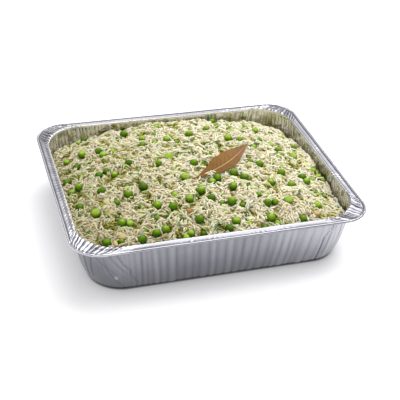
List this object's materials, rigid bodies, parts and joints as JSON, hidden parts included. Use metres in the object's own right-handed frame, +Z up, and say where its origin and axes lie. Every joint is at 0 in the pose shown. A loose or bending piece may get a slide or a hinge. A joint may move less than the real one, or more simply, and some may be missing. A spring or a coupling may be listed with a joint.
{
  "type": "foil tray meal",
  "caption": "Deep rectangular catering tray of pressed aluminium foil with a rolled rim, filled with a heap of cooked rice and green peas and topped with a dried bay leaf.",
  "frame": {"origin": "middle of the rim's outline in plan, at the level of the flat base the tray stands on", "axes": "+X along the long side of the tray, +Y along the short side, +Z up out of the tray's mouth"},
  "size_m": [0.3238, 0.2636, 0.0771],
  "materials": {
    "foil": "bright pressed foil with soft creases",
    "cooked_rice": null,
    "dried_leaf": null
  },
  "bodies": {
    "root": {"foil_tray": "foil", "rice_heap": "cooked_rice", "bay_leaf": "dried_leaf"}
  },
  "joints": []
}
